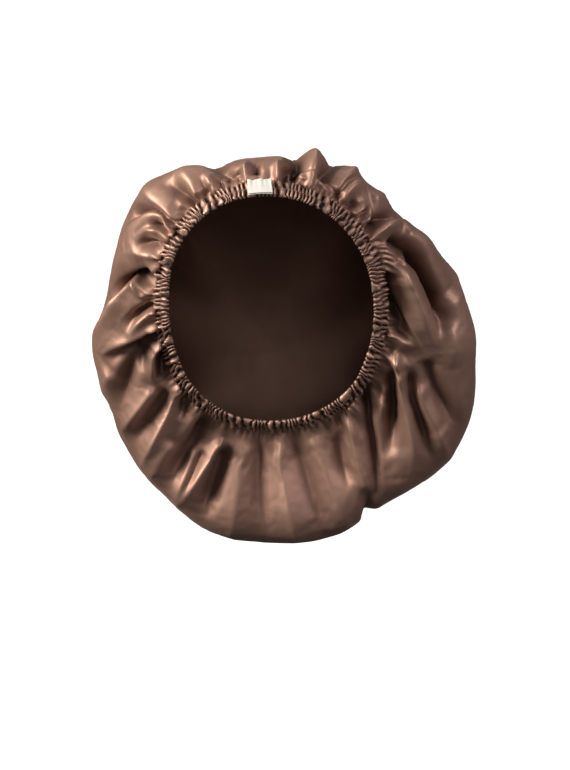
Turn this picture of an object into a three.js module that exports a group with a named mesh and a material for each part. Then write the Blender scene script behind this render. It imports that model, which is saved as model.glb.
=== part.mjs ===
// A large satin sleep bonnet in the form it has on a head, open where the head goes in.
// It is three pieces: the crown, a full round bag of thin satin; the casing, a gathered
// channel with the elastic inside, which runs round the opening; and a small blank
// woven label on the casing over the forehead.
//
// Millimetres. The wearer looks along -Y, +X is to the right as seen from the front,
// and +Z is up. The origin is the middle of the head opening. A place on the bonnet is
// given by its turn, in degrees clockwise from the forehead as seen from the front, and
// on the crown also by its run: 0 at the casing, 1 on the outline that shows from the
// front, and 2 at the middle of the back.

import * as THREE from "three";

// Driving dimensions
const CASING_WIDTH = 15;
const CASING_THICKNESS = 4.5;
const CASING_PUCKERS = 58;
const PUCKER_DEPTH = 0.45;
const CROWN_GAP = 0.4;
const LABEL_GAP = 0.4;
const CLOTH_WALL = 1.5;
const LABEL_WIDTH = 18;
const LABEL_LENGTH = 14;
const LABEL_THICKNESS = 1;
const LABEL_TURN = -5.3;
const LABEL_MARGIN = 1;
const LABEL_LEAN = 13;
const LABEL_CORNER = 1.5;
const BACK_MIDDLE = new THREE.Vector3(6, 185, -38);
const GATHER_DEPTH = 2;
const GATHER_RUN = 0.3;
const CROWN_ANGLE = 50;
const FOLD_START = 1.15;

// How finely the curved pieces are faceted
const GATHER_PLEATS = 44;
const CROWN_COLUMNS = 3 * GATHER_PLEATS;
const CROWN_ROWS = 17;
const ROW_GRADING = 1.5;
const CASING_STEPS = 3 * CASING_PUCKERS;
const CASING_SIDES = 8;
const LABEL_STEPS = 10;

// Turns rows of numbers into rows with named columns.
function table(names, rows) {
  return rows.map((row) => Object.fromEntries(names.map((name, i) => [name, row[i]])));
}

// The casing's middle line: its distance from the axis of the opening, its depth
// behind the middle of the opening, and how far its width leans out from straight back.
const LOOP = table(["turn", "reach", "depth", "flare"], [
  [0, 80, -58, 37],
  [30, 79.5, -50, 37],
  [60, 79, -30, 37],
  [90, 80, -6, 37],
  [118, 85, 18, 32],
  [135, 90, 32, 28],
  [160, 92, 50, 22],
  [180, 92, 56, 20],
  [200, 92, 50, 22],
  [225, 88, 32, 28],
  [242, 83, 18, 32],
  [270, 79, -6, 37],
  [300, 81.5, -30, 37],
  [330, 82, -50, 37],
]);

// The crown's outline from the front, and the depth at which it is widest.
const OUTLINE = table(["turn", "reach", "depth"], [
  [0, 105, -15],
  [15, 112, -12],
  [30, 112, -8],
  [45, 111, 0],
  [60, 116, 15],
  [75, 132, 34],
  [90, 145, 55],
  [105, 160, 66],
  [120, 175, 76],
  [135, 181, 85],
  [150, 178, 91],
  [165, 186, 97],
  [180, 185, 100],
  [195, 182, 97],
  [210, 168, 91],
  [225, 156, 85],
  [240, 143, 76],
  [255, 139, 66],
  [270, 124, 55],
  [285, 121, 40],
  [300, 123.5, 22],
  [315, 124, 5],
  [330, 113, -6],
  [345, 106, -12],
]);

// The crown's main folds. Each runs from one turn and run to another. A height above
// zero is a ridge and below zero a valley, and lean moves a ridge's crest sideways.
const FOLDS = table(["turn", "run", "toTurn", "toRun", "width", "height", "lean"], [
  // Over the forehead
  [347, 0.02, 346, 0.5, 5, 3, 0],
  [6, 0.02, 4, 0.5, 5, 3, 0],
  [9, 0.05, 9, 1.3, 7, -9, 0],
  [17, 0.02, 17, 1.5, 8, 5, 0],
  [25, 0.05, 25, 1.3, 7, -8, 0],
  [33, 0.02, 34, 1.3, 8, 5, 0],
  [42, 0.02, 43, 0.5, 7, 4, 0],
  // The right side of the face, down to the jaw
  [50, 0.05, 53, 1.2, 8, -4, 0],
  [55, 0.04, 62, 1, 9, 7, -3],
  [66, 0.1, 84, 0.9, 14, -5, 0],
  [75, 0.02, 101, 0.9, 19, 9, 0],
  [94, 0.02, 116, 0.9, 15, -7, 0],
  [108, 0.02, 131, 0.9, 15, 6, 0],
  [119, 0.04, 141, 0.9, 13, -5, 0],
  [129, 0.02, 149, 0.9, 13, 4, 0],
  [138, 0.04, 154, 1.15, 11, -5, 0],
  // Behind the neck
  [148, 0.02, 160, 1.1, 10, 6, 0],
  [163, 0.04, 167, 1.1, 10, -5, 0],
  [174, 0.02, 176, 1.2, 12, 5, 0],
  [184, 0.04, 184, 1.1, 10, -5, 0],
  [191, 0.02, 192, 1.1, 10, 4, 0],
  // The left side of the face, from the jaw up
  [197, 0.04, 198, 0.9, 9, -6, 0],
  [202, 0.02, 205, 1.1, 9, 6, 0],
  [211, 0.03, 208, 1, 9, -7, 0],
  [227, 0.02, 216, 1, 11, 8, 0],
  [230, 0.1, 224, 0.9, 8, -5, 0],
  [235, 0.04, 230, 1, 8, 5, 0],
  [246, 0.05, 238, 0.9, 11, -6, 0],
  [262, 0.02, 250, 0.9, 9, 5, 0],
  [271, 0.05, 262, 0.5, 7, -4, 0],
  [284, 0.02, 262, 1, 12, 6, 0],
  [290, 0.03, 271, 0.7, 11, -8, 0],
  [296, 0.02, 285, 1, 12, 5, 0],
  [304, 0.02, 297, 0.7, 9, 5, 2],
  [309, 0.04, 302, 0.9, 9, -6, 0],
  [315, 0.02, 308, 1, 13, 5, 0],
  [320, 0.05, 319, 0.7, 8, -4, 0],
  [327, 0.02, 322, 1.2, 14, 5, 0],
  [339, 0.05, 338, 1.3, 8, -6, 0],
  // Soft folds that die out across the back
  [20, 0.9, 34, 1.85, 18, 5, 0],
  [48, 0.9, 58, 1.8, 16, -6, 0],
  [75, 0.7, 82, 1.85, 20, 5, 0],
  [100, 0.8, 104, 1.8, 17, -6, 0],
  [122, 0.8, 124, 1.85, 20, 5, 0],
  [146, 0.8, 144, 1.8, 17, -5, 0],
  [200, 0.8, 206, 1.8, 17, -5, 0],
  [222, 0.9, 232, 1.85, 19, 5, 0],
  [246, 0.8, 254, 1.8, 17, -6, 0],
  [280, 0.8, 283, 1.85, 20, 5, 0],
  [300, 0.9, 306, 1.8, 16, -5, 0],
  [334, 0.9, 330, 1.85, 18, 5, 0],
]);

const BACK = new THREE.Vector3(0, 1, 0);
const radians = THREE.MathUtils.degToRad;

// The direction straight out from the axis of the opening.
function outward(turn) {
  return new THREE.Vector3(Math.sin(radians(turn)), 0, Math.cos(radians(turn)));
}

// One column of a table at any turn, on a smooth curve that closes after a full turn.
function smooth(rows, column, turn) {
  const at = THREE.MathUtils.euclideanModulo(turn, 360);
  const count = rows.length;
  const i = rows.findLastIndex((row) => row.turn <= at);
  const row = (k) => {
    const laps = Math.floor(k / count);
    const found = rows[k - laps * count];
    return { turn: found.turn + 360 * laps, value: found[column] };
  };
  const [before, from, to, after] = [row(i - 1), row(i), row(i + 1), row(i + 2)];
  const step = to.turn - from.turn;
  const slopeFrom = ((to.value - before.value) / (to.turn - before.turn)) * step;
  const slopeTo = ((after.value - from.value) / (after.turn - from.turn)) * step;
  const u = (at - from.turn) / step;
  const rest = 1 - u;
  return (
    rest * rest * ((1 + 2 * u) * from.value + u * slopeFrom) +
    u * u * ((3 - 2 * u) * to.value - rest * slopeTo)
  );
}

// The casing's middle line, and the directions of its width and of its outer face.
function loopFrame(turn) {
  const out = outward(turn);
  const flare = radians(smooth(LOOP, "flare", turn));
  return {
    middle: out
      .clone()
      .multiplyScalar(smooth(LOOP, "reach", turn))
      .addScaledVector(BACK, smooth(LOOP, "depth", turn)),
    across: out.clone().multiplyScalar(Math.sin(flare)).addScaledVector(BACK, Math.cos(flare)),
    face: out.clone().multiplyScalar(Math.cos(flare)).addScaledVector(BACK, -Math.sin(flare)),
  };
}

// The crown without its folds: from the casing out to the outline, then round to the
// middle of the back.
function crownForm(turn, run) {
  const out = outward(turn);
  const { middle, across } = loopFrame(turn);
  const rim = middle.addScaledVector(across, CASING_WIDTH / 2 + PUCKER_DEPTH + CROWN_GAP);
  const widest = out
    .clone()
    .multiplyScalar(smooth(OUTLINE, "reach", turn))
    .addScaledVector(BACK, smooth(OUTLINE, "depth", turn));
  if (run <= 1) {
    const handle = rim.distanceTo(widest) / 2;
    const spread = radians(smooth(LOOP, "flare", turn) + CROWN_ANGLE);
    const puff = out.clone().multiplyScalar(Math.sin(spread)).addScaledVector(BACK, Math.cos(spread));
    return new THREE.CubicBezierCurve3(
      rim,
      rim.clone().addScaledVector(puff, handle),
      widest.clone().addScaledVector(BACK, -handle),
      widest,
    ).getPoint(run);
  }
  const roundness = 0.62;
  const backwards = BACK_MIDDLE.y - widest.y;
  const sideways = Math.hypot(widest.x - BACK_MIDDLE.x, widest.z - BACK_MIDDLE.z);
  return new THREE.CubicBezierCurve3(
    widest,
    widest.clone().addScaledVector(BACK, roundness * backwards),
    BACK_MIDDLE.clone().addScaledVector(out, roundness * sideways),
    BACK_MIDDLE,
  ).getPoint(run - 1);
}

// The direction out of a surface, from two short steps along it.
function faceOf(surface, turn, run) {
  const turnStep = 0.8;
  const runStep = 0.015;
  const along = surface(turn + turnStep, run).sub(surface(turn - turnStep, run));
  const down = surface(turn, run + runStep).sub(surface(turn, run - runStep));
  return along.cross(down).normalize();
}

// How far the folds move the crown out, and how far their crests lean sideways.
function foldOffset(turn, run, radius) {
  let height = 0;
  let sideways = 0;
  for (const fold of FOLDS) {
    const share = (run - fold.run) / (fold.toRun - fold.run);
    if (share <= 0 || share >= 1) continue;
    const middle = fold.turn + (fold.toTurn - fold.turn) * share;
    const degreesOff = THREE.MathUtils.euclideanModulo(turn - middle + 180, 360) - 180;
    const off = (radians(degreesOff) * radius) / fold.width;
    const strength = Math.exp(-off * off) * Math.sin(Math.PI * share ** FOLD_START);
    height += fold.height * strength;
    sideways += fold.lean * strength;
  }
  return { height, sideways };
}

// The crown's outer face with its folds and the fine gathers beside the casing.
function crownFace(turn, run) {
  const point = crownForm(turn, run);
  const face = faceOf(crownForm, turn, run);
  const radius = Math.hypot(point.x, point.z);
  const fold = foldOffset(turn, run, radius);
  const gather =
    GATHER_DEPTH *
    Math.cos(radians(GATHER_PLEATS * turn)) *
    Math.sin(Math.PI * THREE.MathUtils.clamp(run / GATHER_RUN, 0, 1) ** FOLD_START);
  const sideways = new THREE.Vector3(outward(turn).z, 0, -outward(turn).x);
  return point
    .addScaledVector(face, fold.height + gather)
    .addScaledVector(sideways, fold.sideways);
}

// Moves each vertex of a three.js geometry to where place puts it, by its uv or itself.
function reshape(geometry, place) {
  const position = geometry.getAttribute("position");
  const uv = geometry.getAttribute("uv");
  const vertex = new THREE.Vector3();
  for (let i = 0; i < position.count; i += 1) {
    vertex.fromBufferAttribute(position, i);
    const at = place(uv.getX(i), uv.getY(i), vertex);
    position.setXYZ(i, at.x, at.y, at.z);
  }
  geometry.computeVertexNormals();
  return geometry;
}

// A hollow bag. A sphere's rings become the outer wall, from the middle of the back to
// the casing, and then the inner wall, from the casing to the middle of the back.
function crownGeometry() {
  const rings = 2 * CROWN_ROWS + 1;
  const sphere = new THREE.SphereGeometry(1, CROWN_COLUMNS, rings);
  return reshape(sphere, (u, v) => {
    const ring = Math.round((1 - v) * rings);
    const outer = ring <= CROWN_ROWS;
    const row = outer ? CROWN_ROWS - ring : ring - CROWN_ROWS - 1;
    if (row === CROWN_ROWS) {
      return BACK_MIDDLE.clone().addScaledVector(BACK, outer ? 0 : -CLOTH_WALL);
    }
    const turn = (360 * Math.round(u * CROWN_COLUMNS)) / CROWN_COLUMNS;
    const run = 2 * (row / CROWN_ROWS) ** ROW_GRADING;
    const point = crownFace(turn, run);
    return outer ? point : point.addScaledVector(faceOf(crownFace, turn, run), -CLOTH_WALL);
  });
}

// How far the casing's puckers stand out at one turn.
function pucker(turn) {
  return PUCKER_DEPTH * Math.cos(radians(CASING_PUCKERS * turn));
}

// A ring with a flat rounded section, puckered all the way round.
function casingGeometry() {
  const flatness = 0.6;
  const squared = (x) => Math.sign(x) * Math.abs(x) ** flatness;
  const torus = new THREE.TorusGeometry(2, 1, CASING_SIDES, CASING_STEPS);
  return reshape(torus, (u, v) => {
    const turn = (360 * Math.round(u * CASING_STEPS)) / CASING_STEPS;
    const angle = (2 * Math.PI * Math.round(v * CASING_SIDES)) / CASING_SIDES;
    const { middle, across, face } = loopFrame(turn);
    return middle
      .addScaledVector(across, squared(Math.cos(angle)) * (CASING_WIDTH / 2 + pucker(turn)))
      .addScaledVector(face, -squared(Math.sin(angle)) * (CASING_THICKNESS / 2 + pucker(turn)));
  });
}

// A flat tab that follows the casing's curve and leans off it towards the crown.
function labelGeometry() {
  const half = LABEL_WIDTH / 2;
  const outline = new THREE.Shape();
  outline.moveTo(-half, 0);
  outline.lineTo(half, 0);
  outline.lineTo(half, LABEL_LENGTH - LABEL_CORNER);
  outline.lineTo(half - LABEL_CORNER, LABEL_LENGTH);
  outline.lineTo(LABEL_CORNER - half, LABEL_LENGTH);
  outline.lineTo(-half, LABEL_LENGTH - LABEL_CORNER);
  const inside = outline.getSpacedPoints(4 * LABEL_STEPS);
  const flat = new THREE.ExtrudeGeometry(new THREE.Shape(inside), {
    depth: LABEL_THICKNESS,
    bevelEnabled: false,
  });
  const lean = radians(LABEL_LEAN);
  return reshape(flat, (u, v, corner) => {
    const turn = LABEL_TURN + THREE.MathUtils.radToDeg(corner.x / LOOP[0].reach);
    const { middle, across, face } = loopFrame(turn);
    const up = corner.y * Math.cos(lean) - CASING_WIDTH / 2 + LABEL_MARGIN;
    const lift = corner.y * Math.sin(lean) + corner.z * Math.cos(lean);
    const seat = CASING_THICKNESS / 2 + LABEL_GAP;
    return middle.addScaledVector(across, up).addScaledVector(face, seat + lift);
  });
}

const satin = { color: 0x8f6a60, roughness: 0.38, metalness: 0 };

function piece(name, geometry, finish) {
  const mesh = new THREE.Mesh(geometry, new THREE.MeshStandardMaterial(finish));
  mesh.name = name;
  return mesh;
}

const bonnet = new THREE.Group();
bonnet.name = "sleep_bonnet";
bonnet.add(piece("crown", crownGeometry(), satin));
bonnet.add(piece("elastic_casing", casingGeometry(), { ...satin, color: 0x7c574c }));
bonnet.add(piece("label", labelGeometry(), { color: 0xe6e3d6, roughness: 0.85 }));

export default bonnet;
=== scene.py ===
# %% [markdown]
# # A satin sleep bonnet
#
# The real bonnet is a disc of satin about 0.6 m across. Its edge is gathered onto a loop
# of elastic, and worn it swells into a soft round bag, fuller low down behind the head.
# This lesson dresses a plain measured model of it. The measured model gives the size and
# the place of everything, and three new pieces take over what shows: the crown, the
# elastic casing round the opening, and a small blank label over the forehead.
#
# Everything is in metres. The wearer looks along -Y, +X is to the right as seen from the
# front, +Z is up, and the origin is the middle of the head opening.

# %% Load the measured model
import math

import bmesh
import bpy
import numpy as np
from mathutils import Matrix, Vector


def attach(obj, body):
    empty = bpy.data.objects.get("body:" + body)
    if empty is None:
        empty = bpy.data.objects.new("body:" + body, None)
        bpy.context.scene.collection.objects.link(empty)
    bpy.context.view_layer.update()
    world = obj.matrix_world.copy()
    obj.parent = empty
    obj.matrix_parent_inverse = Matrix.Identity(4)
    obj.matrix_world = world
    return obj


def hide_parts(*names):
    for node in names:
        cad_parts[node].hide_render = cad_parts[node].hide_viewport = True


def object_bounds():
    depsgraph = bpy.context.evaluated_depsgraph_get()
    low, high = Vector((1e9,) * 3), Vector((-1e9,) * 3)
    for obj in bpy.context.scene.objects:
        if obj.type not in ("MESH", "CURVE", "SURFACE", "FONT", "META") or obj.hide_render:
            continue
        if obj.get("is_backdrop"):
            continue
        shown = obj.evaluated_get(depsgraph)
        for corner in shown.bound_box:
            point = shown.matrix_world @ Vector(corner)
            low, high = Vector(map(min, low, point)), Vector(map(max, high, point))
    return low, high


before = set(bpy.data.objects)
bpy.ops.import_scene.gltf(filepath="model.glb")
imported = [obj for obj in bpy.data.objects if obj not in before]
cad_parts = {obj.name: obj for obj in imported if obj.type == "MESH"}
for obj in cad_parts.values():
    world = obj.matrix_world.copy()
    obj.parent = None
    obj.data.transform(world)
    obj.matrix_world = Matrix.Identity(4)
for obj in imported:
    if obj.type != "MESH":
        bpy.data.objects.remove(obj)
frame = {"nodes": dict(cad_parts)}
measured_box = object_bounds()
print("measured nodes:", ", ".join(frame["nodes"]))
print("measured box in mm:", [[round(1000 * c) for c in corner] for corner in measured_box])

# %% [markdown]
# ## Where things lie on a bonnet
#
# A point on the bonnet is easiest to name by its turn and its run. The turn is the angle
# round the opening, in degrees clockwise from the forehead as seen from the front. The
# run goes over the crown: 0 at the casing, 1 on the outline that shows from the front,
# and 2 at the middle of the back. Two short tables hold the measured form. Lengths in
# tables are in millimetres, because that is how a maker would measure cloth.

# %% The measured form
CASING_WIDTH = 15.0
CASING_THICKNESS = 4.5
BACK_MIDDLE = np.array([6.0, 185.0, -38.0])
CROWN_ANGLE = 50.0
BACK_ROUNDNESS = 0.62
SEAM_ALLOWANCE = 1.0

# turn, reach from the axis of the opening, depth, and how far the width leans outwards
LOOP = np.array([
    (0, 80, -58, 37), (30, 79.5, -50, 37), (60, 79, -30, 37), (90, 80, -6, 37),
    (118, 85, 18, 32), (135, 90, 32, 28), (160, 92, 50, 22), (180, 92, 56, 20),
    (200, 92, 50, 22), (225, 88, 32, 28), (242, 83, 18, 32), (270, 79, -6, 37),
    (300, 81.5, -30, 37), (330, 82, -50, 37),
], float)

# turn, reach of the outline, and the depth at which the crown is that wide
OUTLINE = np.array([
    (0, 105, -15), (15, 112, -12), (30, 112, -8), (45, 111, 0), (60, 116, 15),
    (75, 132, 34), (90, 145, 55), (105, 160, 66), (120, 175, 76), (135, 181, 85),
    (150, 178, 91), (165, 186, 97), (180, 185, 100), (195, 182, 97), (210, 168, 91),
    (225, 156, 85), (240, 143, 76), (255, 139, 66), (270, 124, 55), (285, 121, 40),
    (300, 123.5, 22), (315, 124, 5), (330, 113, -6), (345, 106, -12),
], float)


def smooth_column(table, column, turn):
    """One column of a table at any turn, on a smooth curve that closes after a full turn."""
    turns = np.concatenate([table[-2:, 0] - 360, table[:, 0], table[:3, 0] + 360])
    values = np.concatenate([table[-2:, column], table[:, column], table[:3, column]])
    turn = np.asarray(turn, float) % 360
    i = np.searchsorted(turns, turn, side="right") - 1
    step = turns[i + 1] - turns[i]
    slope_from = (values[i + 1] - values[i - 1]) / (turns[i + 1] - turns[i - 1]) * step
    slope_to = (values[i + 2] - values[i]) / (turns[i + 2] - turns[i]) * step
    u = (turn - turns[i]) / step
    rest = 1 - u
    return rest * rest * ((1 + 2 * u) * values[i] + u * slope_from) + u * u * (
        (3 - 2 * u) * values[i + 1] - rest * slope_to
    )


def outward(turn):
    """The direction straight out from the axis of the opening."""
    angle = np.radians(turn)
    return np.stack([np.sin(angle), np.zeros_like(angle), np.cos(angle)], -1)


BACKWARDS = np.array([0.0, 1.0, 0.0])


def loop_frame(turn):
    """The casing's middle line, and the directions of its width and of its outer face."""
    out = outward(turn)
    flare = np.radians(smooth_column(LOOP, 3, turn))[..., None]
    middle = out * smooth_column(LOOP, 1, turn)[..., None]
    middle = middle + BACKWARDS * smooth_column(LOOP, 2, turn)[..., None]
    across = out * np.sin(flare) + BACKWARDS * np.cos(flare)
    face = out * np.cos(flare) - BACKWARDS * np.sin(flare)
    return middle, across, face


ring = loop_frame(np.arange(0.0, 360.0))[0]
print("elastic loop in mm:", round(np.linalg.norm(np.roll(ring, -1, 0) - ring, axis=1).sum()))

# %% [markdown]
# ## The crown's form
#
# Cut through the bonnet from the casing to the middle of the back and the crown shows as
# two soft arcs that meet at the widest point. A cubic curve draws each arc well from
# four points, and taking the arcs at every turn gives the whole smooth bag, before any
# fold is in it.


# %% Two arcs at every turn
def arc(a, b, c, d, share):
    """A cubic curve from a to d that leaves towards b and arrives from c."""
    u = share[..., None]
    rest = 1 - u
    return rest**3 * a + 3 * rest**2 * u * b + 3 * rest * u**2 * c + u**3 * d


def crown_form(turn, run):
    """The crown without folds, in millimetres."""
    turn, run = np.broadcast_arrays(np.asarray(turn, float), np.asarray(run, float))
    out = outward(turn)
    middle, across, _ = loop_frame(turn)
    rim = middle + across * (CASING_WIDTH / 2 - SEAM_ALLOWANCE)
    widest = out * smooth_column(OUTLINE, 1, turn)[..., None]
    widest = widest + BACKWARDS * smooth_column(OUTLINE, 2, turn)[..., None]
    handle = np.linalg.norm(rim - widest, axis=-1, keepdims=True) / 2
    spread = np.radians(smooth_column(LOOP, 3, turn) + CROWN_ANGLE)[..., None]
    puff = out * np.sin(spread) + BACKWARDS * np.cos(spread)
    front = arc(rim, rim + puff * handle, widest - BACKWARDS * handle, widest, np.minimum(run, 1))
    deep = BACK_MIDDLE[1] - widest[..., 1:2]
    wide = np.hypot(widest[..., 0] - BACK_MIDDLE[0], widest[..., 2] - BACK_MIDDLE[2])[..., None]
    pole = np.broadcast_to(BACK_MIDDLE, widest.shape)
    back = arc(
        widest,
        widest + BACKWARDS * BACK_ROUNDNESS * deep,
        pole + out * BACK_ROUNDNESS * wide,
        pole,
        np.maximum(run - 1, 0),
    )
    return np.where((run <= 1)[..., None], front, back)


def form_normal(turn, run):
    """The direction out of the smooth form."""
    run = np.clip(run, 0.01, 1.97)
    along = crown_form(turn + 0.5, run) - crown_form(turn - 0.5, run)
    down = crown_form(turn, run + 0.01) - crown_form(turn, run - 0.01)
    normal = np.cross(along, down)
    return normal / np.linalg.norm(normal, axis=-1, keepdims=True)


WIDEST_TURNS = (105, 262)
right_side, left_side = (crown_form(turn, 1.0)[0] for turn in WIDEST_TURNS)
print("outline across in mm:", round(right_side - left_side))

# %% [markdown]
# ## The folds
#
# Gathered satin falls into a few large folds that start at the casing, and each one has
# its own course. A table gives a row to each: three places along it by turn and run, the
# half width and height of its crest in millimetres (below zero it is a valley), and how
# far the crest leans over to the right of its course, seen from outside. A leaning crest
# has one steep flank, and overhangs the hollow beside it as real cloth does. A table like
# this is easier to correct against a picture than any noise.
#
# A fold rises over the first part of its course and dies out over the last. Across its
# course a valley is a bell curve. A ridge falls off faster beside its top, because a
# narrow ridge of satin is sharp, and only the widest folds are round on top.

# %% The table of folds
COURSE_STEPS = 25
# Shares of a fold's course
RISES_OVER = 0.2
DIES_OVER = 0.45
# How a ridge falls off to its sides, measured in half widths
RIDGE_FALL = 1.8
RIDGE_END = 3.2
SHARP_TOP, ROUND_TOP = 0.6, 1.6
WIDE_FOLD = 12.0

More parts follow.
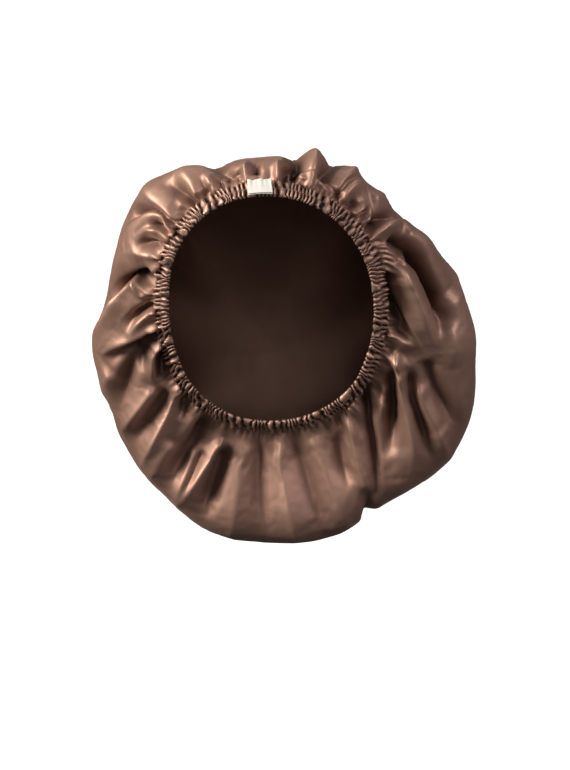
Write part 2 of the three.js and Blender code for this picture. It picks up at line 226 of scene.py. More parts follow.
# turn and run at three places, half width, height, lean
FOLDS = np.array([
    # Over the forehead and the left temple
    (349.2, 0.03, 349.2, 0.18, 349, 0.50, 3, 5.5, 0),
    (345.8, 0.05, 346.3, 0.15, 347, 0.28, 2.4, -4.5, 0),
    (343, 0.05, 339.5, 0.50, 337.8, 1.60, 7, -8, 0),
    (353, 0.10, 353.4, 0.32, 354, 0.80, 3.8, -6, 0),
    (341, 0.02, 340.8, 0.08, 340.3, 0.16, 1.6, -3, 0),
    (339.3, 0.02, 338.8, 0.10, 338, 0.20, 2.2, 3, 0),
    (337.3, 0.02, 336.8, 0.12, 335.5, 0.30, 1.8, -2.5, 0),
    (334.8, 0.02, 334, 0.18, 332.5, 0.45, 3.5, 3.5, 0),
    (331.5, 0.02, 331, 0.12, 330, 0.30, 2, -2, 0),
    (327, 0.05, 326.5, 0.35, 326, 1.10, 10, 6, 0),
    (322.5, 0.02, 322, 0.17, 318.5, 0.65, 4.5, -7, 0),
    (315.5, 0.02, 313.5, 0.35, 313, 1.10, 8.5, 6, -3),
    (309.5, 0.08, 305.5, 0.40, 299, 0.80, 5, -10, 0),
    (303, 0.01, 307, 0.20, 295.5, 0.65, 4, 9, 4),
    (304.5, 0.04, 304.8, 0.12, 301.5, 0.24, 2.2, -5, 0),
    (300.8, 0.01, 302.3, 0.12, 296, 0.33, 2.6, 5, 2),
    (298.5, 0.04, 296.3, 0.16, 291, 0.33, 3, -6, 0),
    (294.5, 0.01, 293, 0.14, 288, 0.40, 5, 5, -2),
    # Down the left side
    (291.5, 0.02, 285.5, 0.24, 275, 0.80, 4.5, 6, -6),
    (286, 0.02, 279, 0.26, 266, 0.78, 10, -23, 4),
    (284, 0.01, 275, 0.22, 261, 0.70, 3, 8, 2),
    (271, 0.30, 262, 0.58, 256, 1.00, 4, 4, 2),
    (279, 0.10, 271, 0.30, 262, 0.90, 8, 5, 2),
    (278, 0.20, 272.6, 0.11, 278.5, 0.02, 1.9, 4, 0),
    (282, 0.07, 279, 0.11, 275.5, 0.115, 2.8, -6, 0),
    (269.3, 0.02, 265.5, 0.12, 259, 0.27, 3.8, -8, 0),
    (267, 0.01, 262.5, 0.11, 256, 0.28, 2.8, 7, 2),
    (261, 0.01, 256, 0.22, 252.5, 0.70, 3.6, 6, -2),
    (257, 0.02, 252.5, 0.20, 250, 0.75, 5.5, -9, 0),
    (253, 0.15, 243, 0.36, 231.5, 0.85, 6.5, -8, 0),
    (246, 0.50, 243, 0.75, 238, 1.10, 10, 4, 0),
    (250, 0.00, 247, 0.10, 232, 0.17, 3.2, 9, -2),
    (246.5, 0.01, 241, 0.05, 232.5, 0.11, 4.2, -12, 0),
    (251, 0.08, 247, 0.16, 239, 0.23, 3, -6, 0),
    (231, 0.00, 222.5, 0.27, 216.5, 1.00, 4.6, 7.5, 0),
    (229, 0.06, 226.3, 0.33, 224.5, 0.90, 7.5, -7, 0),
    (235, 0.17, 230.7, 0.42, 228, 0.95, 5, 5, 0),
    (223, 0.01, 220, 0.07, 216.5, 0.16, 3.6, -6, 0),
    (215.5, 0.01, 214.5, 0.12, 213.5, 0.40, 6, 4, 0),
    (215.5, 0.30, 214.5, 0.60, 213, 1.05, 9, 4, 0),
    (208.5, 0.02, 209, 0.32, 210, 0.85, 7.5, -9, 0),
    (207, 0.22, 206.3, 0.46, 205.5, 0.90, 3.6, 3.5, 0),
    (204.3, 0.22, 204.4, 0.42, 204.2, 0.75, 2.8, -4, 0),
    (199, 0.10, 202.5, 0.38, 205, 0.95, 4.4, 6.5, 0),
    (197.5, 0.12, 197.5, 0.42, 197.5, 0.88, 7, -9, 0),
    # Behind the neck
    (190.5, 0.02, 190, 0.45, 189, 1.10, 9, 4, 0),
    (184.5, 0.03, 183, 0.40, 181, 0.90, 6, -5, 0),
    (177, 0.02, 175, 0.45, 172.5, 1.05, 7, 4, 0),
    (170, 0.04, 168, 0.45, 166, 1.00, 7, -5, 0),
    (163, 0.02, 161.5, 0.40, 161, 1.05, 7.5, 4, 0),
    # Over the right temple
    (3, 0.03, 2.8, 0.20, 2.5, 0.50, 2.8, 5.5, 0),
    (6.3, 0.02, 6.8, 0.20, 7.4, 0.65, 2.8, -7, 0),
    (8.2, 0.03, 8.4, 0.12, 8.6, 0.24, 1.8, 4, 0),
    (10.4, 0.04, 10.6, 0.12, 10.6, 0.22, 1.6, -4, 0),
    (12.3, 0.02, 13.2, 0.08, 15, 0.14, 2, 3.5, 0),
    (12.5, 0.12, 10.5, 0.40, 7.6, 1.60, 6, -14, 0),
    (16.8, 0.03, 16.6, 0.40, 15.4, 1.60, 6.5, 6, 0.5),
    (22.5, 0.14, 23.2, 0.50, 24.3, 1.60, 5.2, -10, 0),
    (20, 0.13, 25, 0.09, 29, 0.05, 2.6, 3.5, 0),
    (31, 0.12, 32, 0.50, 33.5, 1.60, 5.5, 6, 0),
    (33.3, 0.04, 32.2, 0.28, 37, 0.80, 2.6, -5, 0),
    (36.5, 0.05, 36, 0.30, 40, 0.80, 5, 4, -2),
    (39.5, 0.05, 39.5, 0.12, 40.5, 0.22, 2.2, -5, 0),
    (42.5, 0.04, 43.2, 0.15, 45, 0.35, 2.6, 5, 0),
    (45.3, 0.07, 45.8, 0.16, 46.5, 0.28, 2, -4, 0),
    (48, 0.03, 48.5, 0.12, 50, 0.25, 2.4, 4, 0),
    (44, 0.40, 46, 0.70, 47.5, 1.15, 7, 4, 0),
    (51.3, 0.05, 53.5, 0.12, 55.5, 0.17, 3.4, -10, 0),
    (51.5, 0.12, 54, 0.38, 57.3, 0.95, 4.8, -9, 0),
    (59, 0.03, 56.8, 0.20, 60.5, 1.00, 3.6, 9, -3),
    (63, 0.40, 67, 0.60, 74, 0.90, 11, 5, 0),
    # The thin arcs beside the right eye
    (61.5, 0.02, 64.5, 0.14, 70.5, 0.21, 1.6, 3.5, 0),
    (64, 0.02, 66.5, 0.12, 71.5, 0.18, 1.6, 3.5, 0),
    (66.3, 0.02, 68.8, 0.10, 73.5, 0.16, 1.6, 3.5, 0),
    (69, 0.02, 71, 0.08, 75, 0.13, 1.6, 3.5, 0),
    (73, 0.02, 74.5, 0.06, 78, 0.10, 1.8, 4, 0),
    (71, 0.14, 73.5, 0.17, 77, 0.20, 1.4, -3.5, 0),
    # The right flap, with the hollows on both sides of it
    (62, 0.14, 69, 0.31, 80, 0.34, 5.5, -12, 0),
    (70, 0.30, 87, 0.335, 103, 0.43, 7, -17, 0),
    (70, 0.13, 90, 0.195, 111, 0.37, 7.5, 13, -2),
    (76, 0.08, 92, 0.11, 111, 0.34, 2.5, 4, 3),
    (74, 0.24, 88, 0.275, 105, 0.36, 2.5, 4, -2),
    (72, 0.02, 89, 0.05, 107, 0.14, 5.5, -15, 0),
    (91, 0.00, 92.5, 0.04, 95, 0.08, 2, 5, 0),
    (97.5, 0.00, 98, 0.05, 99, 0.10, 2, 5, 0),
    (104, 0.01, 104.5, 0.09, 108, 0.20, 2.8, 7, 0),
    (96, 0.43, 103, 0.48, 110, 0.52, 7, 4, 0),
    (85, 0.60, 97, 0.68, 112, 0.80, 14, 5, 0),
    (80, 0.85, 82.5, 1.00, 84, 1.25, 10, 2.5, 0),
    # Down the right side to the neck
    (107, 0.10, 124, 0.215, 143, 0.72, 4.6, 10, 0),
    (116, 0.10, 130, 0.19, 145, 0.45, 4.2, -10, 0),
    (124.5, 0.10, 131, 0.14, 138.5, 0.21, 2.3, 5, 0),
    (127, 0.03, 142, 0.20, 154.5, 0.90, 3.6, -9, 0),
    (134, 0.01, 148, 0.20, 155.5, 1.00, 4.2, 6, 0),
    (152, 0.10, 156, 0.30, 157, 0.50, 5, -5, 0),
    (139, 0.38, 143, 0.62, 147, 1.00, 10, 2, 0),
    (115, 0.22, 127, 0.33, 136, 0.85, 4.8, -9, 0),
    (118, 0.29, 125.5, 0.42, 131, 0.85, 4.5, 4, 0),
    (108, 0.31, 118.5, 0.43, 125.5, 0.95, 6, -8, 0),
    (128, 0.50, 130.5, 0.75, 131.5, 1.20, 9, 2.5, 0),
    (152.5, 0.50, 155, 0.90, 156.5, 1.50, 5.5, -7, 0),
    # Soft folds over the sides and the back
    (22, 1.15, 28, 1.45, 36, 1.85, 16, 6, 0),
    (49, 1.15, 54, 1.45, 60, 1.80, 14, -7, 0),
    (77, 1.12, 80, 1.45, 84, 1.85, 17, 6, 0),
    (100, 1.12, 102, 1.45, 104, 1.80, 14, -7, 0),
    (122, 1.12, 123, 1.45, 124, 1.85, 17, 6, 0),
    (146, 1.10, 145, 1.45, 144, 1.80, 14, -6, 0),
    (201, 1.10, 203, 1.45, 206, 1.80, 14, -6, 0),
    (224, 1.12, 228, 1.45, 232, 1.85, 16, 6, 0),
    (248, 1.12, 251, 1.45, 254, 1.80, 14, -7, 0),
    (279, 1.12, 281, 1.45, 283, 1.85, 17, 6, 0),
    (300, 1.12, 303, 1.45, 306, 1.80, 13, -6, 0),
    (326, 1.12, 325, 1.45, 323, 1.85, 16, 6, 0),
], float)


def ease(share):
    """Rises smoothly from 0 to 1."""
    share = np.clip(share, 0, 1)
    return share * share * (3 - 2 * share)


def course(start, middle, end, share):
    """A smooth run of values through three given ones."""
    bend = 2 * (start + end - 2 * middle)
    return start + (end - start - bend) * share + bend * share**2


def fold_moves(points, normals):
    """How all the folds together move each point of the smooth crown, and how far out."""
    lift = np.zeros(len(points))
    moves = np.zeros_like(points)
    share = np.linspace(0, 1, COURSE_STEPS)
    for turn0, run0, turn1, run1, turn2, run2, width, rise, lean in FOLDS:
        path = crown_form(course(turn0, turn1, turn2, share), course(run0, run1, run2, share))
        reach = 4 * width
        near = np.all((points > path.min(0) - reach) & (points < path.max(0) + reach), axis=1)
        here = points[near]
        start, step = path[:-1], np.diff(path, axis=0)
        offset = here[:, None] - start
        along = np.clip((offset * step).sum(-1) / (step**2).sum(-1), 0, 1)
        distance = np.linalg.norm(offset - along[..., None] * step, axis=-1)
        nearest = distance.argmin(1)
        rows = np.arange(len(here))
        way = (nearest + along[rows, nearest]) / (len(share) - 1)
        fade = ease(way / RISES_OVER) * ease((1 - way) / DIES_OVER)
        spread = width * (0.75 + 0.5 * way)
        apart = distance[rows, nearest] / spread
        top = SHARP_TOP if width < WIDE_FOLD else ROUND_TOP
        ridge = np.exp(-RIDGE_FALL * (np.hypot(apart, top) - top)) * ease(RIDGE_END - apart)
        hump = fade * (ridge if rise > 0 else np.exp(-(apart**2)))
        right = np.cross(step[nearest], normals[near])
        right /= np.linalg.norm(right, axis=1, keepdims=True)
        lift[near] += rise * hump
        moves[near] += right * (lean * hump)[:, None]
    return moves + normals * lift[:, None], lift


print("folds in the table:", len(FOLDS))

# %% [markdown]
# ## Cut the crown and gather it
#
# The crown starts as it does on a cutting table: a flat disc. One edge from the rim to
# the centre is divided and spun through a full circle, which gives rings and spokes, and
# `use_merge` closes the disc. Each vertex keeps its place on the flat disc as its UV,
# so the cloth's grain later runs straight as on the cut cloth. The rings near the rim
# are closest together, because the gathers there are the finest.


# %% The flat disc
DISC_RADIUS = 0.3
SPOKES = 600
RINGS = 80
RING_GRADING = 1.5


def mesh_from(work, name):
    """Turns finished bmesh work into a smooth shaded mesh."""
    for face in work.faces:
        face.smooth = True
    mesh = bpy.data.meshes.new(name)
    work.to_mesh(mesh)
    work.free()
    return mesh


def piece_from(mesh, name):
    """Puts a mesh into the scene as a piece of its own."""
    piece = bpy.data.objects.new(name, mesh)
    bpy.context.scene.collection.objects.link(piece)
    return piece


cloth = bmesh.new()
rim_point = cloth.verts.new((0, 0, DISC_RADIUS))
centre_point = cloth.verts.new((0, 0, 0))
cut_line = cloth.edges.new((rim_point, centre_point))
bmesh.ops.subdivide_edges(cloth, edges=[cut_line], cuts=RINGS - 1)
bmesh.ops.spin(
    cloth,
    geom=cloth.verts[:] + cloth.edges[:],
    axis=(0, 1, 0),
    cent=(0, 0, 0),
    angle=2 * math.pi,
    steps=SPOKES,
    use_merge=True,
)
bmesh.ops.remove_doubles(cloth, verts=cloth.verts, dist=1e-5)
grain = cloth.loops.layers.uv.new("grain")
for face in cloth.faces:
    for corner in face.loops:
        corner[grain].uv = (corner.vert.co.x, corner.vert.co.z)
crown_mesh = mesh_from(cloth, "crown")
crown = piece_from(crown_mesh, "satin_crown")
print("disc:", len(crown_mesh.vertices), "vertices,", len(crown_mesh.polygons), "faces")

# %% [markdown]
# Now the disc is gathered. Its distance from the rim becomes the run and its angle the
# turn, and the table of folds lifts it along the smooth form's normal. The folds fade out
# at the rim, because the rim is sewn into the casing. Beside the casing the real cloth is
# drawn up three to one, and three smaller things join in: the casing's own puckers, which
# run a little way out, coarser pleats, and a roll of cloth that is heaped forward over
# the casing's outer edge.

# %% Place the disc on the form
PUCKERS = 144
# Degrees of a pucker's wave, of which a whole pucker has 360
PUCKER_DRIFT = 190
ROW_SHIFT = 150
PLEATS = 54
MILLIMETRES_A_RUN = 150
# The folds fade in over this many millimetres from the rim
SEWN_DOWN = 5


def read_points(mesh):
    """A mesh's vertices as an array."""
    points = np.empty(3 * len(mesh.vertices))
    mesh.vertices.foreach_get("co", points)
    return points.reshape(-1, 3)


def write_points(mesh, points):
    """Moves a mesh's vertices to the places in an array."""
    mesh.vertices.foreach_set("co", np.ascontiguousarray(points).ravel())
    mesh.update()


def wander(turn, seed, waves):
    """A smooth random curve round the bonnet, between about -1 and 1, the same each time."""
    chance = np.random.default_rng(seed)
    total = np.zeros_like(turn)
    for count in waves:
        total += chance.normal() * np.cos(np.radians(count * turn) + chance.uniform(0, 2 * math.pi))
    return total / math.sqrt(len(waves))


flat = read_points(crown_mesh)
disc_share = 1 - np.hypot(flat[:, 0], flat[:, 2]) / DISC_RADIUS
turn = np.degrees(np.arctan2(flat[:, 0], flat[:, 2])) % 360
run = 2 * np.clip(disc_share, 0, 1) ** RING_GRADING
smooth_crown = crown_form(turn, run)
crown_normal = form_normal(turn, run)
from_rim = MILLIMETRES_A_RUN * run


def puckers(turn, share):
    """Puckers, 0 in a crease and 1 on top. Share is 0 in the inner row and 1 in the outer."""
    drift = wander(turn, 8, [7, 13, 19, 29, 43]) * (1 - share)
    drift = drift + wander(turn, 9, [5, 11, 17, 31, 41]) * share
    shift = ROW_SHIFT * ease((share - 0.3) / 0.4)
    half_phase = (PUCKERS * turn + PUCKER_DRIFT * drift + shift) / 2
    return np.abs(np.cos(np.radians(half_phase))) ** 0.9


def pleats(count, seed):
    """Waves round the bonnet whose spacing is uneven."""
    return np.cos(np.radians(count * turn + 85 * wander(turn, seed, [2, 3, 5, 7, 11])))


moves, lift = fold_moves(smooth_crown, crown_normal)
moves *= ease(from_rim / SEWN_DOWN)[:, None]
reach_of_fine = 10 + 5 * wander(turn, 1, [3, 5, 9, 13, 21])
small = 2.2 * (puckers(turn, 1.0) - 0.6) * ease(1.3 - from_rim / np.maximum(reach_of_fine, 4))
coarse = pleats(PLEATS, 4) * np.clip(0.7 + 0.6 * wander(turn, 3, [2, 4, 7, 11]), 0, 2)
small += 1.3 * coarse * ease((from_rim - 2) / 8) * ease((40 - from_rim) / 30)
lift += small

# The roll of cloth is fuller on the left than on the right
heap = ease(from_rim / 4) * ease((13 - from_rim) / 9) * (0.55 + 0.45 * puckers(turn, 1.0))
heap = heap * (1.7 - 0.9 * np.sin(np.radians(turn - 20)))
gathered = smooth_crown + moves + crown_normal * small[:, None]
gathered -= (outward(turn) + 0.9 * BACKWARDS) * heap[:, None]
write_points(crown_mesh, gathered / 1000)
print("deepest valley and highest ridge in mm:", round(lift.min(), 1), round(lift.max(), 1))

# %% [markdown]
# ## Let the cloth settle
#
# A surface moved by formula looks carved. A short cloth simulation cures that: the rim
# is sewn fast, every other vertex is held to its place by a soft spring, and the cloth
# is told that it is nearly one percent too large. It has to buckle, and it does so the
# way satin does, with small creases that run between the large folds. The middle of the
# back is held more firmly, because all the spokes of the disc crowd together there.

# %% A short simulation
SETTLE_FRAMES = 14
GROWTH = 0.008


def hold_weights():
    """How firmly each vertex keeps its place: the rim fast, the sides lightly."""
    near_rim = 0.5 * ease((12 - from_rim) / 10)
    at_back = 0.9 * ease((run - 1.5) / 0.45)
    weights = np.round(0.06 + np.maximum(near_rim, at_back), 2)
    return np.where(from_rim < 1.0, 1.0, weights)


def settle(piece, weights, growth, frames):
    """Runs a short cloth simulation and keeps its result in the mesh."""
    hold = piece.vertex_groups.new(name="hold")
    for weight in np.unique(weights):
        hold.add(np.nonzero(weights == weight)[0].tolist(), float(weight), "REPLACE")
    simulation = piece.modifiers.new("settle", "CLOTH")
    satin = simulation.settings
    satin.quality = 5
    satin.mass = 0.15
    satin.air_damping = 2
    satin.tension_stiffness = satin.compression_stiffness = 30
    satin.shear_stiffness = 8
    satin.bending_stiffness = 0.5
    satin.tension_damping = satin.compression_damping = 10
    satin.shear_damping = 5
    satin.bending_damping = 0.5
    satin.vertex_group_mass = "hold"
    satin.pin_stiffness = 50
    satin.shrink_min = satin.shrink_max = -growth
    satin.effector_weights.gravity = 0
    simulation.collision_settings.use_collision = False
    simulation.point_cache.frame_end = frames
    for number in range(1, frames + 1):
        bpy.context.scene.frame_set(number)
    view = bpy.context.evaluated_depsgraph_get()
    settled = read_points(piece.evaluated_get(view).data)
    piece.modifiers.remove(simulation)
    piece.vertex_groups.remove(hold)
    moved = 1000 * np.linalg.norm(settled - read_points(piece.data), axis=1)
    write_points(piece.data, settled)
    bpy.context.scene.frame_set(1)
    print("the cloth moved in mm: on average", moved.mean().round(1), "at most", moved.max().round(1))


settle(crown, hold_weights(), GROWTH, SETTLE_FRAMES)

# %% [markdown]
# Satin is thin, but an edge seen against the light still has a thickness, and a closed
# wall is what any later tool wants. The normals are made to agree first, then a Solidify
# modifier builds the inner wall.

# %% Give the cloth a thickness
SATIN_THICKNESS = 0.0004


def face_outwards(mesh):
    """Makes the faces agree and point away from the inside of the bonnet."""
    work = bmesh.new()
    work.from_mesh(mesh)
    bmesh.ops.recalc_face_normals(work, faces=work.faces)
    work.faces.ensure_lookup_table()
    back_face = max(work.faces, key=lambda face: face.calc_center_median().y)
    if back_face.normal.y < 0:
        bmesh.ops.reverse_faces(work, faces=work.faces)
    work.to_mesh(mesh)
    work.free()


face_outwards(crown_mesh)
wall = crown.modifiers.new("thickness", "SOLIDIFY")
wall.thickness = SATIN_THICKNESS
wall.offset = -1
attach(crown, "root")
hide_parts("crown")
print("crown faces:", len(crown_mesh.polygons))

# %% [markdown]
# ## The elastic casing
#
# The casing is a channel of the same satin with the elastic inside. Let go, the elastic
# draws the satin into close puckers in two rows, one on each side of the line of
# stitching. A torus would give the ring, but a circle that is spun has an even section
# whose points are easy to name, so the section is spun and then laid along the loop.

# %% Spin the ring
CASING_STEPS = 1400
CASING_SIDES = 28
RING_RADIUS = 2.0

channel = bmesh.new()
bmesh.ops.create_circle(channel, segments=CASING_SIDES, radius=1.0)
bmesh.ops.translate(channel, verts=channel.verts, vec=(RING_RADIUS, 0, 0))
bmesh.ops.spin(
    channel,
    geom=channel.verts[:] + channel.edges[:],
    axis=(0, 1, 0),
    cent=(0, 0, 0),
    angle=2 * math.pi,
    steps=CASING_STEPS,
    use_merge=True,
)
bmesh.ops.remove_doubles(channel, verts=channel.verts, dist=1e-6)
casing_mesh = mesh_from(channel, "casing")
print("ring:", len(casing_mesh.polygons), "faces")

# %% [markdown]
# Each point of the ring knows its turn, where it is across the width, and whether it is
# on the outer or the inner face. Squaring the section off makes the round tube a flat
# channel. The puckers are rounded puffs with sharp creases between them, which is what
# the absolute value of a cosine gives. They drift, and each slides sideways over the
# groove, so the two rows are almost half a pucker out of step. Finer crinkles and a slant
# that changes along the loop break up what would otherwise look like beads.

# %% Lay the ring along the loop and pucker it
PUCKER_DEPTH = 3.6
CRINKLE_DEPTH = 0.8
GROOVE_DEPTH = 1.1
RUFFLE_WIDTH = 1.4
SLANT = 1.1

spun = read_points(casing_mesh)
casing_turn = np.degrees(np.arctan2(spun[:, 0], spun[:, 2])) % 360
outside = np.hypot(spun[:, 0], spun[:, 2]) - RING_RADIUS
sideways = spun[:, 1]


def squared(value, flatness):
    """Pushes the round section towards a flat one."""
    return np.sign(value) * np.abs(value) ** flatness


def casing_points(turn, sideways, outside):
    """The puckered casing, in millimetres."""
    middle, across, face = loop_frame(turn)
    row = (sideways > 0).astype(float)
    in_row = np.sin(math.pi * np.clip(np.abs(sideways), 0, 1)) ** 0.5
    fullness = 1 + 0.3 * wander(turn, 21, [23, 41, 67, 83]) + 0.15 * row
    puff = puckers(turn, (sideways + 1) / 2) * fullness
    groove = np.exp(-((sideways / 0.16) ** 2))
    outer = np.clip(outside * 3, 0, 1)
    crinkle = CRINKLE_DEPTH * wander(turn + 4 * sideways, 23, [211, 263, 317, 353, 401])
    rise = outer * ((PUCKER_DEPTH * (puff - 0.6) + crinkle) * in_row - GROOVE_DEPTH * groove)
    edge = np.clip(np.abs(sideways) * 4 - 3, 0, 1)
    ruffle = RUFFLE_WIDTH * edge * (puff - 0.5) * np.sign(sideways)
    width = squared(sideways, 0.75) * CASING_WIDTH / 2 + ruffle
    depth = squared(outside, 0.7) * CASING_THICKNESS / 2 + rise
    slant = SLANT * wander(turn, 22, [17, 25, 39, 47]) * outer * sideways
    around = np.cross(across, face)
    return middle + across * width[:, None] + face * depth[:, None] + around * slant[:, None]


write_points(casing_mesh, casing_points(casing_turn, sideways, outside) / 1000)
face_outwards(casing_mesh)
casing = piece_from(casing_mesh, "satin_casing")
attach(casing, "root")
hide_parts("elastic_casing")
print("casing box in mm:", [round(1000 * size) for size in casing.dimensions])

# %% [markdown]
# A line of stitching runs along the groove between the two rows, and holds the elastic
# in its channel. A stitch is a small rounded bar, so each is a low sphere, drawn out
# along the loop and sunk into the groove at both ends.

# %% Stitch the channel
STITCHES = 224
STITCH_HALF_SIZES = (0.00085, 0.0003, 0.0003)
STITCH_PROUD = 0.0001


def turned(along, up, place, lengths):
    """A matrix that puts a unit shape at a place, drawn out along three directions."""
    along = Vector(along).normalized()
    side = Vector(up).cross(along).normalized()
    up = along.cross(side)
    place = Vector(place)
    columns = [along * lengths[0], side * lengths[1], up * lengths[2], place]
    return [[column[i] for column in columns] for i in range(3)] + [[0, 0, 0, 1]]


stitching = bmesh.new()
stitch_turns = np.arange(STITCHES) * 360 / STITCHES
zero = np.zeros(STITCHES)
groove_points = casing_points(stitch_turns, zero, zero + 1) / 1000
next_points = casing_points(stitch_turns + 0.3, zero, zero + 1) / 1000
stitch_up = loop_frame(stitch_turns)[2]
for place, ahead, up in zip(groove_points, next_points, stitch_up):
    bmesh.ops.create_uvsphere(
        stitching,
        u_segments=6,
        v_segments=4,
        radius=1,
        matrix=Matrix(turned(ahead - place, up, place + up * STITCH_PROUD, STITCH_HALF_SIZES)),
    )
thread_mesh = mesh_from(stitching, "casing_stitching")
thread = piece_from(thread_mesh, "casing_stitching")
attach(thread, "root")
print("stitches:", STITCHES, "with", len(thread_mesh.polygons), "faces")

# %% [markdown]
# ## The label
#
# The label is a short length of woven tape folded double, with the fold at the top and
# both ends caught in the seam. It is left blank. A grid is the natural start: its long
# direction goes up the front, over the fold and down the back, and a Solidify modifier
# gives the tape its thickness.

# %% Fold the tape
LABEL_WIDTH = 16.4
LABEL_LENGTH = 14.0
LABEL_TURN = -5.3
LABEL_LEAN = 13.0
LABEL_MARGIN = -3.4
LABEL_STANDS_OFF = 1.15
FOLD_ROUNDNESS = 0.9
TAPE_THICKNESS = 0.00035

tape = bmesh.new()
bmesh.ops.create_grid(tape, x_segments=36, y_segments=64, size=1.0, calc_uvs=True)
label_mesh = mesh_from(tape, "label")
on_tape = read_points(label_mesh)
tape_across = on_tape[:, 0] * LABEL_WIDTH / 2
tape_along = on_tape[:, 1] * LABEL_LENGTH
from_fold = np.sqrt(tape_along**2 + FOLD_ROUNDNESS**2) - FOLD_ROUNDNESS
height_up = LABEL_LENGTH - from_fold
upper = ease(height_up / LABEL_LENGTH)
label_turn = LABEL_TURN + np.degrees(tape_across * (1.1 - 0.17 * upper) / LOOP[0, 1])
middle, across, face = loop_frame(label_turn)
layer = -0.55 * np.tanh(tape_along / FOLD_ROUNDNESS)
wave = 0.35 * np.sin(tape_across * 0.75 + 0.6) + 0.2 * np.sin(tape_across * 1.7)
curl = 0.5 * (np.abs(tape_across) / 9) ** 4
height_up = height_up + 0.45 * np.sin(tape_across * 0.8 + 2.4) * upper
layer = layer + wave * upper + curl * upper
lean = math.radians(LABEL_LEAN)
up = height_up * math.cos(lean) - CASING_WIDTH / 2 + LABEL_MARGIN
out = CASING_THICKNESS / 2 + LABEL_STANDS_OFF + height_up * math.sin(lean) + layer * math.cos(lean)
write_points(label_mesh, (middle + across * up[:, None] + face * out[:, None]) / 1000)
label = piece_from(label_mesh, "blank_label")
tape_wall = label.modifiers.new("thickness", "SOLIDIFY")
tape_wall.thickness = TAPE_THICKNESS
tape_wall.offset = 0
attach(label, "root")
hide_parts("label")
print("label in mm:", [round(1000 * size, 1) for size in label.dimensions])

# %% [markdown]
# ## Write materials as sums
#
# A material is a small calculation that runs at every point of the surface. Node by node
# it is slow to write and hard to read, so one small class wraps a socket and lets Python
# write the sums: `1 - ridge * 0.4` adds its own Math nodes. A second class makes a
# material and any other node from its type, its settings and its inputs.


# %% A socket that can be added and multiplied
class Thread:
    """A number that varies over the surface."""

    def __init__(self, finish, socket):
        self.finish = finish
        self.socket = socket

    def sum(self, operation, first, second=None):
        inputs = {0: first} if second is None else {0: first, 1: second}
        return self.finish.node("ShaderNodeMath", {"operation": operation}, inputs)

    def __add__(self, other):
        return self.sum("ADD", self, other)

    def __radd__(self, other):
        return self.sum("ADD", other, self)

    def __sub__(self, other):
        return self.sum("SUBTRACT", self, other)

    def __rsub__(self, other):
        return self.sum("SUBTRACT", other, self)

    def __mul__(self, other):
        return self.sum("MULTIPLY", self, other)

    def __pow__(self, other):
        return self.sum("POWER", self, other)

    def sine(self):
        return self.sum("SINE", self)

    def clamped(self):
        return self.finish.node("ShaderNodeClamp", {}, {0: self})


class Finish:
    """A material and its nodes."""

    def __init__(self, name):
        self.material = bpy.data.materials.new(name)
        self.material.use_nodes = True
        self.tree = self.material.node_tree
        self.tree.nodes.clear()

    def node(self, kind, settings, inputs, output=0):
        """Adds a node, sets it up, feeds it and returns one of its outputs."""
        node = self.tree.nodes.new(kind)
        for name, value in settings.items():
            setattr(node, name, value)
        for name, value in inputs.items():
            if isinstance(value, Thread):
                self.tree.links.new(value.socket, node.inputs[name])
            else:
                node.inputs[name].default_value = value
        return Thread(self, node.outputs[output])

    def mix(self, share, first, second):
        """A colour between two colours."""
        colours = {0: share, 6: first, 7: second}
        return self.node("ShaderNodeMix", {"data_type": "RGBA", "clamp_factor": True}, colours, 2)

    def noise(self, vector, scale, detail=2.0, rough=0.5):
        """Cloudy variation between 0 and 1."""
        inputs = {"Vector": vector, "Scale": scale, "Detail": detail, "Roughness": rough}
        return self.node("ShaderNodeTexNoise", {}, inputs)

    def stretched(self, vector, scale):
        """The same place, measured with a different scale along each axis."""
        return self.node("ShaderNodeMapping", {}, {"Vector": vector, "Scale": scale})

    def bump(self, relief, strength, distance):
        """Light that falls as if the surface had this relief."""
        inputs = {"Strength": strength, "Distance": distance, "Height": relief}
        return self.node("ShaderNodeBump", {}, inputs)

    def surface(self, inputs):
        """Ends the material in one Principled surface."""
        shader = self.node("ShaderNodeBsdfPrincipled", {}, inputs)
        end = self.tree.nodes.new("ShaderNodeOutputMaterial")
        self.tree.links.new(shader.socket, end.inputs["Surface"])
        return self.material


print("ready to write finishes")

# %% [markdown]
# ## Satin
#
# Satin shines because its threads float over one another, so it has a broad soft
# highlight, lighter than the cloth, and keeps its colour in the shade. The base colour
# drifts a little from place to place, and light and shade are painted into it: a painted
# highlight along the ridges and painted shade, darkest in the creases, so each mesh first
# stores how far its vertices stand proud. Threads are far too fine to model, so two noises
# that are stretched along the grain stand for them, and a larger one gives the faint
# creasing that the simulation is too coarse for.

# %% The satin of the crown and of the casing
# Millimetres of lift from full painted shade in a valley to full painted highlight on a ridge
PROUD_FOLD = 22.0
# How strongly the puckers set the casing's painted shade and painted highlight
PUCKER_PAINTED_LIGHT = 2.0
# Crown: painted shade for the hollows, the cloth's own colour, painted highlight for the ridges
CROWN_PAINTED_LIGHT_COLOURS = [(0.11, 0.052, 0.037, 1), (0.29, 0.163, 0.119, 1), (0.44, 0.265, 0.193, 1)]
# Casing: near-black painted shade for the creases between puckers, the cloth's own colour, painted
# highlight for the puffs
CASING_PAINTED_LIGHT_COLOURS = [(0.02, 0.009, 0.007, 1), (0.24, 0.133, 0.099, 1), (0.45, 0.27, 0.2, 1)]


def keep_lift_for_painted_light(mesh, lift):
    """Stores how far each vertex stands proud, for the material's painted shade, painted highlight
    and roughness.
    """
    ridge = mesh.attributes.new("ridge", "FLOAT", "POINT")
    ridge.data.foreach_set("value", np.clip(0.5 + lift, 0, 1).astype(np.float32))


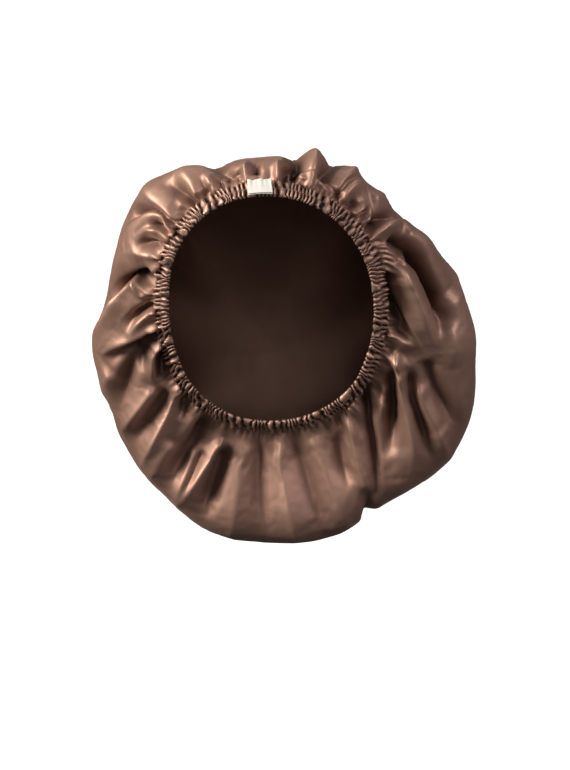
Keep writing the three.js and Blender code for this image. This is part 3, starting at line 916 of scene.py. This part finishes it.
def satin(name, colours, grain_coordinates, crease):
    """Satin with three colours: painted shade in the hollows, its own colour on the flats and a
    painted highlight along the ridges.
    """
    deep, middle, painted_highlight = colours
    finish = Finish(name)
    place = finish.node("ShaderNodeTexCoord", {}, {}, "Object")
    grain = finish.node("ShaderNodeTexCoord", {}, {}, grain_coordinates)
    ridge = finish.node("ShaderNodeAttribute", {"attribute_name": "ridge"}, {}, "Fac")
    drift = finish.noise(place, 22.0, 3.0)
    threads = finish.noise(finish.stretched(grain, (2600.0, 90.0, 2600.0)), 1.0, 2.0)
    floats = finish.noise(finish.stretched(grain, (90.0, 1500.0, 90.0)), 1.0, 1.0)
    # Painted light: the lift lightens the colour on ridges and darkens it in hollows, and drift and
    # threads add random tone
    painted_light_and_tone = (ridge + (drift - 0.5) * 0.5 + (threads - 0.5) * 0.15).clamped()
    low = finish.mix(painted_light_and_tone * 2, deep, middle)
    colour = finish.mix(painted_light_and_tone * 2 - 1, low, painted_highlight)
    rubbed = finish.noise(place, 60.0, 4.0, 0.6)
    roughness = (0.56 - ridge * 0.05 + (rubbed - 0.5) * 0.14 + (threads - 0.5) * 0.08).clamped()
    creasing = finish.noise(place, 95.0, 3.0, 0.45) * crease
    relief = creasing + threads * 0.05 + floats * 0.05
    bump = finish.bump(relief, 0.35, 0.001)
    return finish.surface({
        "Base Color": colour,
        "Roughness": roughness,
        "Normal": bump,
        "Metallic": 0.6,
        "Specular IOR Level": 0.5,
        "Sheen Weight": 0.1,
        "Sheen Roughness": 0.4,
        "Sheen Tint": (1.0, 0.74, 0.6, 1.0),
    })


# The crown's folds set its painted shade and painted highlight
keep_lift_for_painted_light(crown_mesh, lift / PROUD_FOLD)
crown_mesh.materials.append(satin("crown_satin", CROWN_PAINTED_LIGHT_COLOURS, "UV", 0.2))
# The casing's puckers give near-black painted shade in their creases and a painted highlight on their
# puffs
casing_puckers = puckers(casing_turn, (sideways + 1) / 2)
keep_lift_for_painted_light(casing_mesh, PUCKER_PAINTED_LIGHT * (casing_puckers - 0.72))
casing_mesh.materials.append(satin("casing_satin", CASING_PAINTED_LIGHT_COLOURS, "Object", 1.0))


def thread_finish():
    """Twisted thread in the colour of the satin."""
    finish = Finish("stitching_thread")
    place = finish.node("ShaderNodeTexCoord", {}, {}, "Object")
    twist = finish.noise(place, 2400.0, 2.0)
    colour = finish.mix(twist, (0.10, 0.045, 0.035, 1), (0.22, 0.11, 0.09, 1))
    bump = finish.bump(twist, 0.4, 0.0003)
    return finish.surface({"Base Color": colour, "Roughness": 0.5 + twist * 0.2, "Normal": bump})


thread_mesh.materials.append(thread_finish())
print("satin on the crown and the casing, thread on the stitching")

# %% [markdown]
# ## Woven tape
#
# The label is plain woven tape, matt and a little uneven. Its ribs follow the tape, so
# they are sine waves on its UV map, and both side edges are darkened with painted shade.


# %% The label's tape
RIBS_ACROSS, RIBS_ALONG = 45, 72


def woven_tape():
    """Off-white ribbed tape with nothing on it."""
    finish = Finish("woven_tape")
    on_tape = finish.node("ShaderNodeTexCoord", {}, {}, "UV")
    split = finish.tree.nodes.new("ShaderNodeSeparateXYZ")
    finish.tree.links.new(on_tape.socket, split.inputs[0])
    across, along = Thread(finish, split.outputs[0]), Thread(finish, split.outputs[1])
    ribs_across = (across * (2 * math.pi * RIBS_ACROSS)).sine()
    ribs = ribs_across * (along * (2 * math.pi * RIBS_ALONG)).sine()
    place = finish.node("ShaderNodeTexCoord", {}, {}, "Object")
    cloud = finish.noise(place, 260.0, 3.0)
    fuzz = finish.noise(place, 2200.0, 2.0)
    middle = across * (1 - across) * 4
    # Painted shade darkens both side edges of the tape; the cloud adds random tone
    painted_edge_shade_and_tone = (1 - middle**0.25) * 0.5 + (cloud - 0.5) * 0.25
    colour = finish.mix(painted_edge_shade_and_tone.clamped(), (0.72, 0.71, 0.65, 1), (0.46, 0.43, 0.37, 1))
    colour = finish.mix((fuzz * 0.25 + ribs * 0.08).clamped(), colour, (0.60, 0.57, 0.50, 1))
    relief = ribs * 0.5 + fuzz * 0.4
    bump = finish.bump(relief, 0.5, 0.0003)
    return finish.surface({
        "Base Color": colour,
        "Roughness": 0.82 + (fuzz - 0.5) * 0.15,
        "Normal": bump,
        "Sheen Weight": 0.2,
    })


label_mesh.materials.append(woven_tape())
print("tape on the label")

# %% [markdown]
#
# The crown is cut from a disc 0.6 m across, whose flat area is that of the circle. The
# casing and the label are too small and too thick to behave as sheets.

# %% The crown's flat area
print("flat area in square metres:", round(math.pi * DISC_RADIUS**2, 3))

# %% [markdown]
# ## Floor, light and camera
#
# The bonnet was photographed in a white studio. One large soft light stands on the left,
# in front and a little above. A weaker one on the right opens the shadows, and two faint
# ones above and in front keep the deepest hollows from going black. A floor that curves
# up behind the object leaves no horizon. The camera looks straight back at the height of
# the head opening from 1.6 m, and a small lens shift frames the bonnet above the middle.

# %% A floor that turns up into a backdrop
FLOOR_HEIGHT = -0.252
FLOOR_HALF_WIDTH = 6
FLOOR_FRONT = -4.0
SWEEP_RADIUS = 1.2
BACKDROP_HEIGHT = 2.5

sweep = bmesh.new()
front_point = sweep.verts.new((-FLOOR_HALF_WIDTH, FLOOR_FRONT, FLOOR_HEIGHT))
heel_point = sweep.verts.new((-FLOOR_HALF_WIDTH, SWEEP_RADIUS, FLOOR_HEIGHT))
sweep.edges.new((front_point, heel_point))
bmesh.ops.spin(
    sweep,
    geom=[heel_point],
    axis=(1, 0, 0),
    cent=(-FLOOR_HALF_WIDTH, SWEEP_RADIUS, FLOOR_HEIGHT + SWEEP_RADIUS),
    angle=math.pi / 2,
    steps=24,
)
highest = max(sweep.verts, key=lambda vert: vert.co.z)
top = bmesh.ops.extrude_vert_indiv(sweep, verts=[highest])["verts"]
bmesh.ops.translate(sweep, verts=top, vec=(0, 0, BACKDROP_HEIGHT))
drawn = bmesh.ops.extrude_edge_only(sweep, edges=sweep.edges[:])["geom"]
far_side = [part for part in drawn if isinstance(part, bmesh.types.BMVert)]
bmesh.ops.translate(sweep, verts=far_side, vec=(2 * FLOOR_HALF_WIDTH, 0, 0))
sweep_mesh = mesh_from(sweep, "studio_sweep")
studio_sweep = piece_from(sweep_mesh, "studio_sweep")
paper = Finish("pale_paper")
sweep_mesh.materials.append(
    paper.surface({
        "Base Color": (0.8, 0.8, 0.8, 1),
        "Roughness": 0.9,
        "Emission Color": (1, 1, 1, 1),
        "Emission Strength": 0.7,
    })
)
studio_sweep.visible_diffuse = False
studio_sweep.visible_glossy = False
studio_sweep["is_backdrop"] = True
print("sweep faces:", len(sweep_mesh.polygons))


# %% Lights
MIDDLE = (0.0, 0.03, -0.03)
ROOM_LIGHT = 0.08

# name, place, size, power and colour
SOFTBOXES = [
    ("key_light", (-1.65, -0.85, 0.72), 0.9, 73, (1.0, 0.96, 0.91)),
    ("fill_light", (1.4, -1.05, 0.65), 0.8, 18, (0.98, 0.92, 0.97)),
    ("top_light", (0.2, 0.3, 1.3), 0.7, 3, (1, 1, 1)),
    ("front_light", (0.15, -1.9, 0.1), 0.5, 2.5, (1, 1, 1)),
]


def softbox(name, place, size, power, colour):
    """A square area light that faces the middle of the bonnet."""
    lamp = bpy.data.lights.new(name, "AREA")
    lamp.size = size
    lamp.energy = power
    lamp.color = colour
    box = bpy.data.objects.new(name, lamp)
    box.location = place
    box.rotation_euler = (Vector(MIDDLE) - Vector(place)).to_track_quat("-Z", "Y").to_euler()
    bpy.context.scene.collection.objects.link(box)


for softbox_values in SOFTBOXES:
    softbox(*softbox_values)

room = bpy.data.worlds.new("studio_room")
bpy.context.scene.world = room
room.use_nodes = True
room.node_tree.nodes["Background"].inputs["Color"].default_value = (1, 1, 1, 1)
room.node_tree.nodes["Background"].inputs["Strength"].default_value = ROOM_LIGHT
bpy.context.scene.view_settings.view_transform = "Standard"
print("lights:", ", ".join(values[0] for values in SOFTBOXES))

# %% Camera
CAMERA_DISTANCE = 1.6
METRES_PER_PIXEL = 0.00073
PICTURE_WIDTH, PICTURE_HEIGHT = 570, 770
OPENING_ACROSS, OPENING_DOWN = 270.5, 303
SENSOR = 36

lens = bpy.data.cameras.new("camera")
lens.sensor_width = SENSOR
lens.lens = SENSOR * CAMERA_DISTANCE / (PICTURE_HEIGHT * METRES_PER_PIXEL)
lens.shift_x = (PICTURE_WIDTH / 2 - OPENING_ACROSS) / PICTURE_HEIGHT
lens.shift_y = -(PICTURE_HEIGHT / 2 - OPENING_DOWN) / PICTURE_HEIGHT
camera = bpy.data.objects.new("camera", lens)
camera.location = (0, -CAMERA_DISTANCE, 0)
camera.rotation_euler = (math.pi / 2, 0, 0)
bpy.context.scene.collection.objects.link(camera)
bpy.context.scene.camera = camera
print("focal length in mm:", round(lens.lens))

# %% [markdown]
# ## The size
#
# The dressed bonnet is meant to stay as large as the measured one, so both boxes are
# printed side by side.

# %% Print both boxes
dressed_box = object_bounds()
for name, corners in (("measured", measured_box), ("dressed", dressed_box)):
    print(name, [[round(1000 * c) for c in corner] for corner in corners])
